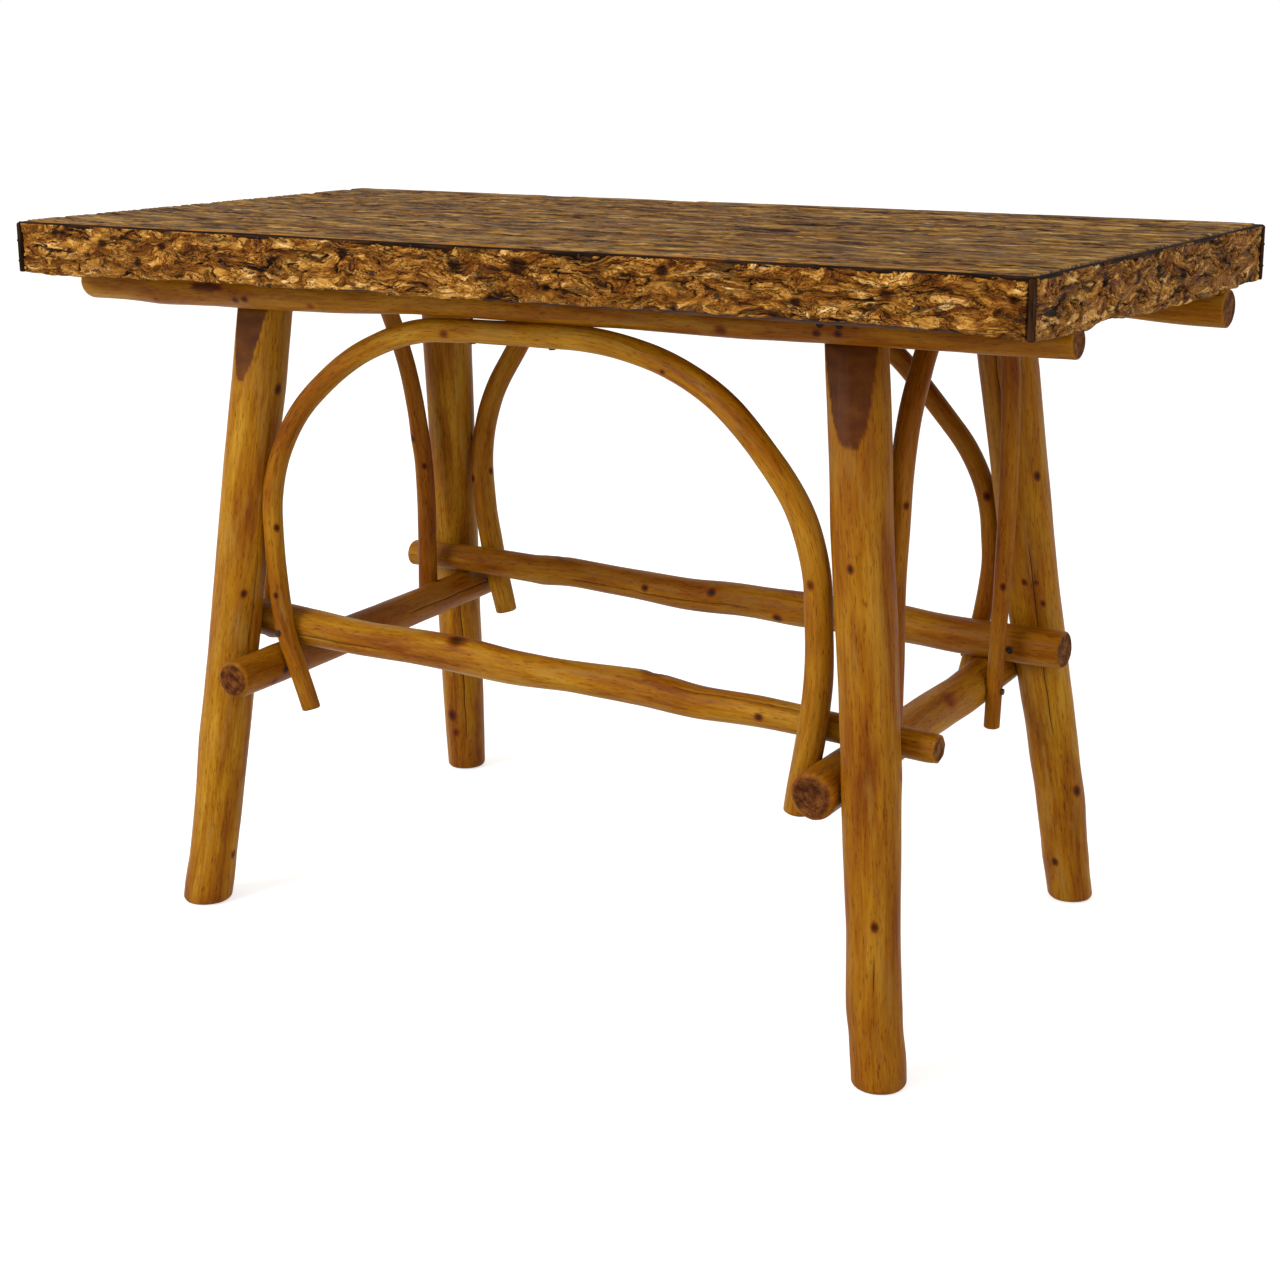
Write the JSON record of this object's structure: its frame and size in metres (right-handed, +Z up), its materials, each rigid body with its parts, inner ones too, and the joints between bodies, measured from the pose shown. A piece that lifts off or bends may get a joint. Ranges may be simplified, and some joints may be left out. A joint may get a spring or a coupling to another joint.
{
  "type": "rustic hickory table",
  "caption": "Rectangular rustic table: a bark-covered top on splayed peeled hickory legs, with stretchers and bent-branch arches between them.",
  "frame": {"origin": "on the floor, under the middle of the top and of the whole table", "axes": "+Z up; +X along the table's length, to the right seen from its front; +Y towards its back"},
  "size_m": [1.2, 0.6163, 0.762],
  "materials": {
    "peeled_hickory": "satin varnish over peeled poles",
    "rough_pine": "rough-sawn boards",
    "ridged_bark": "varnished ridged bark",
    "flaky_bark": "varnished flaky bark",
    "bark_twig": "varnished split twigs",
    "nail_steel": "dull dark steel",
    "screw_steel": "zinc-plated"
  },
  "bodies": {
    "root": {"leg_front_left": "peeled_hickory", "leg_front_right": "peeled_hickory", "leg_back_left": "peeled_hickory", "leg_back_right": "peeled_hickory", "rail_front": "peeled_hickory", "rail_back": "peeled_hickory", "cross_stretcher_left": "peeled_hickory", "cross_stretcher_right": "peeled_hickory", "long_stretcher_front": "peeled_hickory", "long_stretcher_back": "peeled_hickory", "arch_front": "peeled_hickory", "arch_back": "peeled_hickory", "arch_left": "peeled_hickory", "arch_right": "peeled_hickory", "top_plank_1": "rough_pine", "top_plank_2": "rough_pine", "top_plank_3": "rough_pine", "top_plank_4": "rough_pine", "top_plank_5": "rough_pine", "batten_left": "rough_pine", "batten_middle": "rough_pine", "batten_right": "rough_pine", "apron_front": "rough_pine", "apron_back": "rough_pine", "apron_left": "rough_pine", "apron_right": "rough_pine", "top_bark_1": "ridged_bark", "top_bark_2": "ridged_bark", "top_bark_3": "ridged_bark", "top_bark_4": "ridged_bark", "top_bark_5": "ridged_bark", "top_bark_6": "ridged_bark", "edge_bark_front": "flaky_bark", "edge_bark_back": "flaky_bark", "edge_bark_left": "flaky_bark", "edge_bark_right": "flaky_bark", "edge_trim_front": "bark_twig", "edge_trim_back": "bark_twig", "edge_trim_left": "bark_twig", "edge_trim_right": "bark_twig", "corner_trim_front_left": "bark_twig", "corner_trim_front_right": "bark_twig", "corner_trim_back_left": "bark_twig", "corner_trim_back_right": "bark_twig", "rail_nails": "nail_steel", "cross_stretcher_nails": "nail_steel", "long_stretcher_nails": "nail_steel", "arch_nails": "nail_steel", "apron_nails": "nail_steel", "bark_tacks": "nail_steel", "trim_brads": "nail_steel", "batten_screws": "screw_steel"}
  },
  "joints": []
}
